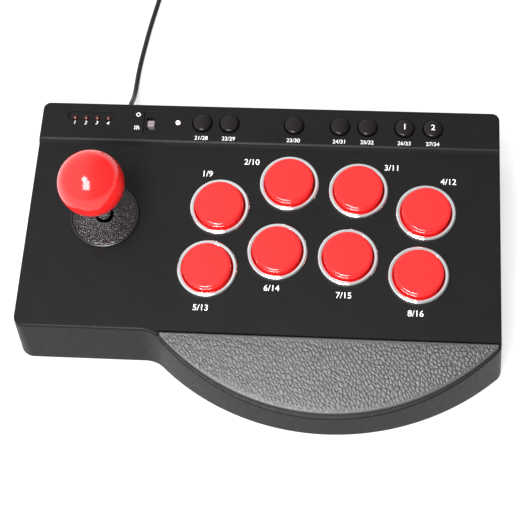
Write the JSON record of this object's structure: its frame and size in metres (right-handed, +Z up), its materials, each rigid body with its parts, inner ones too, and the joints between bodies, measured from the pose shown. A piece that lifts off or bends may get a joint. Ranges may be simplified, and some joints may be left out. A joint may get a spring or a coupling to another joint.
{
  "type": "arcade joystick panel",
  "caption": "Home fighting stick: sloping black case, ball-top lever, red snap-in buttons with chrome rings, small control keys, padded arc hand rest and a USB cord.",
  "frame": {"origin": "middle of the object's box without its cord, on the table surface under the feet", "axes": "+X to the player's right, +Y to the rear where the cord leaves, +Z up"},
  "size_m": [0.2644, 0.3553, 0.1035],
  "materials": {
    "case_plastic": "fine moulded texture, satin black",
    "pad_leather": "grey leather-grain padded mat",
    "steel": "plain steel",
    "rubber": "matt black",
    "chrome": "polished plating",
    "red_gloss": "glossy red",
    "key_gloss": "glossy black",
    "board": "green circuit board",
    "lamp": "red-tinted clear lens",
    "inner_plastic": "plain moulded",
    "washer_plastic": "pebbled disc with a smooth bead",
    "felt": "thin felt",
    "grey_plastic": "grey slider",
    "cord": "satin black jacket"
  },
  "bodies": {
    "case": {"top_case": "case_plastic", "base_plate": "case_plastic", "hand_rest_pad": "pad_leather", "case_screw_1": "steel", "case_screw_2": "steel", "case_screw_3": "steel", "case_screw_4": "steel", "foot_rear_left": "rubber", "foot_rear_right": "rubber", "foot_front_left": "rubber", "foot_front_right": "rubber", "foot_hand_rest": "rubber", "button_bezel_upper_1": "chrome", "button_bezel_upper_2": "chrome", "button_bezel_upper_3": "chrome", "button_bezel_upper_4": "chrome", "button_bezel_lower_1": "chrome", "button_bezel_lower_2": "chrome", "button_bezel_lower_3": "chrome", "button_bezel_lower_4": "chrome", "button_board": "board", "key_board": "board", "player_lamps": "lamp", "mode_lamp": "lamp", "mode_switch_body": "steel", "lever_mount": "inner_plastic", "restrictor_gate": "inner_plastic", "lever_switch_left": "inner_plastic", "lever_switch_right": "inner_plastic", "lever_switch_front": "inner_plastic", "lever_switch_rear": "inner_plastic", "strain_relief": "rubber", "usb_cord": "cord", "usb_cord_coil": "cord", "usb_plug": "cord"},
    "button_upper_1": {"button_cap_upper_1": "red_gloss"},
    "button_upper_2": {"button_cap_upper_2": "red_gloss"},
    "button_upper_3": {"button_cap_upper_3": "red_gloss"},
    "button_upper_4": {"button_cap_upper_4": "red_gloss"},
    "button_lower_1": {"button_cap_lower_1": "red_gloss"},
    "button_lower_2": {"button_cap_lower_2": "red_gloss"},
    "button_lower_3": {"button_cap_lower_3": "red_gloss"},
    "button_lower_4": {"button_cap_lower_4": "red_gloss"},
    "key_turbo_body": {"key_turbo": "key_gloss"},
    "key_combo_body": {"key_combo": "key_gloss"},
    "key_home_body": {"key_home": "key_gloss"},
    "key_share_body": {"key_share": "key_gloss"},
    "key_options_body": {"key_options": "key_gloss"},
    "key_left_stick_body": {"key_left_stick": "key_gloss"},
    "key_right_stick_body": {"key_right_stick": "key_gloss"},
    "mode_switch": {"mode_switch_knob": "grey_plastic"},
    "gimbal": {"gimbal_ring": "steel"},
    "lever": {"pivot_block": "steel", "lever_actuator": "inner_plastic", "centring_spring": "steel"},
    "knob": {"ball_top": "red_gloss", "lever_shaft": "chrome", "retaining_clip": "steel"},
    "felt": {"washer_felt": "felt"},
    "washer": {"dust_washer": "washer_plastic"}
  },
  "joints": [
    {"name": "press_upper_1", "type": "slide", "parent": "case", "child": "button_upper_1", "axis": [0, 0.1219, -0.9925], "range_m": [0, 0.0025], "stiffness_N_per_m": 300, "springref_m": -0.001},
    {"name": "press_upper_2", "type": "slide", "parent": "case", "child": "button_upper_2", "axis": [0, 0.1219, -0.9925], "range_m": [0, 0.0025], "stiffness_N_per_m": 300, "springref_m": -0.001},
    {"name": "press_upper_3", "type": "slide", "parent": "case", "child": "button_upper_3", "axis": [0, 0.1219, -0.9925], "range_m": [0, 0.0025], "stiffness_N_per_m": 300, "springref_m": -0.001},
    {"name": "press_upper_4", "type": "slide", "parent": "case", "child": "button_upper_4", "axis": [0, 0.1219, -0.9925], "range_m": [0, 0.0025], "stiffness_N_per_m": 300, "springref_m": -0.001},
    {"name": "press_lower_1", "type": "slide", "parent": "case", "child": "button_lower_1", "axis": [0, 0.1219, -0.9925], "range_m": [0, 0.0025], "stiffness_N_per_m": 300, "springref_m": -0.001},
    {"name": "press_lower_2", "type": "slide", "parent": "case", "child": "button_lower_2", "axis": [0, 0.1219, -0.9925], "range_m": [0, 0.0025], "stiffness_N_per_m": 300, "springref_m": -0.001},
    {"name": "press_lower_3", "type": "slide", "parent": "case", "child": "button_lower_3", "axis": [0, 0.1219, -0.9925], "range_m": [0, 0.0025], "stiffness_N_per_m": 300, "springref_m": -0.001},
    {"name": "press_lower_4", "type": "slide", "parent": "case", "child": "button_lower_4", "axis": [0, 0.1219, -0.9925], "range_m": [0, 0.0025], "stiffness_N_per_m": 300, "springref_m": -0.001},
    {"name": "press_turbo", "type": "slide", "parent": "case", "child": "key_turbo_body", "axis": [0, 0.1219, -0.9925], "range_m": [0, 0.0008], "stiffness_N_per_m": 1000, "springref_m": -0.0003},
    {"name": "press_combo", "type": "slide", "parent": "case", "child": "key_combo_body", "axis": [0, 0.1219, -0.9925], "range_m": [0, 0.0008], "stiffness_N_per_m": 1000, "springref_m": -0.0003},
    {"name": "press_home", "type": "slide", "parent": "case", "child": "key_home_body", "axis": [0, 0.1219, -0.9925], "range_m": [0, 0.0008], "stiffness_N_per_m": 1000, "springref_m": -0.0003},
    {"name": "press_share", "type": "slide", "parent": "case", "child": "key_share_body", "axis": [0, 0.1219, -0.9925], "range_m": [0, 0.0008], "stiffness_N_per_m": 1000, "springref_m": -0.0003},
    {"name": "press_options", "type": "slide", "parent": "case", "child": "key_options_body", "axis": [0, 0.1219, -0.9925], "range_m": [0, 0.0008], "stiffness_N_per_m": 1000, "springref_m": -0.0003},
    {"name": "press_left_stick", "type": "slide", "parent": "case", "child": "key_left_stick_body", "axis": [0, 0.1219, -0.9925], "range_m": [0, 0.0008], "stiffness_N_per_m": 1000, "springref_m": -0.0003},
    {"name": "press_right_stick", "type": "slide", "parent": "case", "child": "key_right_stick_body", "axis": [0, 0.1219, -0.9925], "range_m": [0, 0.0008], "stiffness_N_per_m": 1000, "springref_m": -0.0003},
    {"name": "mode_switch_slide", "type": "slide", "parent": "case", "child": "mode_switch", "axis": [0, 0.9925, 0.1219], "range_m": [-0.0019, 0.0019]},
    {"name": "lever_fore_aft", "type": "hinge", "parent": "case", "child": "gimbal", "pos_m": [-0.0863, 0.01951, 0.02657], "axis": [1, 0, 0], "range_deg": [-9.5, 9.5], "stiffness_Nm_per_rad": 0.6},
    {"name": "lever_left_right", "type": "hinge", "parent": "gimbal", "child": "lever", "pos_m": [-0.0863, 0.01951, 0.02657], "axis": [0, 0.9925, 0.1219], "range_deg": [-9.5, 9.5], "stiffness_Nm_per_rad": 0.6},
    {"name": "knob_spin", "type": "hinge", "parent": "lever", "child": "knob", "pos_m": [-0.0863, 0.01951, 0.02657], "axis": [0, -0.1219, 0.9925], "continuous": true},
    {"name": "washer_across", "type": "slide", "parent": "case", "child": "felt", "axis": [1, 0, 0], "range_m": [-0.0034, 0.0034]},
    {"name": "washer_along", "type": "slide", "parent": "felt", "child": "washer", "axis": [0, 0.9925, 0.1219], "range_m": [-0.0034, 0.0034]}
  ],
  "couplings": [
    {"joint": "washer_across", "follows": "lever_left_right", "m_per_rad": 0.0194},
    {"joint": "washer_along", "follows": "lever_fore_aft", "m_per_rad": -0.0194}
  ]
}
